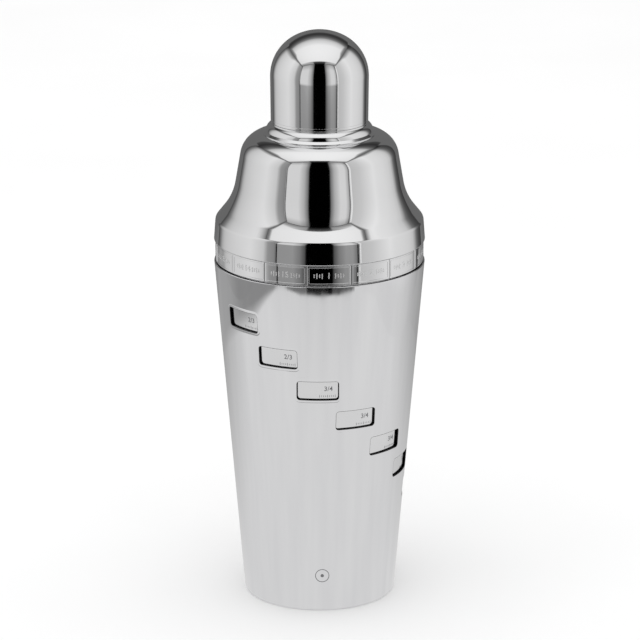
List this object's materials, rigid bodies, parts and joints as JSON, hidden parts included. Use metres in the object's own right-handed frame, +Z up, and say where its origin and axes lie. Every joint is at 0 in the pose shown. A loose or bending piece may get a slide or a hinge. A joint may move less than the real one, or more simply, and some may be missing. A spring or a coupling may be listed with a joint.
{
  "type": "cocktail shaker",
  "caption": "Double-walled cocktail shaker with a straining lid, a domed cap and a windowed outer sleeve that turns as a recipe dial.",
  "frame": {"origin": "on the shaker's axis, at the surface it stands on", "axes": "+Z up along the shaker's axis; the front, where the spiral of windows is seen, faces -Y"},
  "size_m": [0.092, 0.092, 0.2535],
  "materials": {
    "polished_plate": "mirror-polished silver plate",
    "cup_steel": "satin stainless steel",
    "turned_aluminium": "fine turned",
    "fastener_steel": "plain steel",
    "nylon": "natural nylon",
    "silicone": "soft matte"
  },
  "bodies": {
    "vessel": {"inner_vessel": "cup_steel", "name_collar": "polished_plate", "upper_glide_ring": "nylon", "foot_plate": "cup_steel", "base_plate": "turned_aluminium", "base_screws": "fastener_steel", "friction_spring": "fastener_steel", "thrust_washer": "fastener_steel"},
    "sleeve": {"sleeve_shell": "polished_plate", "sleeve_floor": "polished_plate", "hub_bush": "nylon"},
    "lid": {"lid_shell": "polished_plate", "lid_skirt": "cup_steel", "lid_gasket": "silicone", "pour_neck": "polished_plate", "neck_moulding": "polished_plate", "strainer_disc": "cup_steel"},
    "cap": {"cap_shell": "polished_plate", "cap_liner": "nylon"}
  },
  "joints": [
    {"name": "sleeve_turn", "type": "hinge", "parent": "vessel", "child": "sleeve", "pos_m": [0, 0, 0.08], "axis": [0, 0, 1], "continuous": true},
    {"name": "lid_lift", "type": "slide", "parent": "vessel", "child": "lid", "axis": [0, 0, 1], "range_m": [0, 0.07]},
    {"name": "cap_lift", "type": "slide", "parent": "lid", "child": "cap", "axis": [0, 0, 1], "range_m": [0, 0.045]}
  ]
}
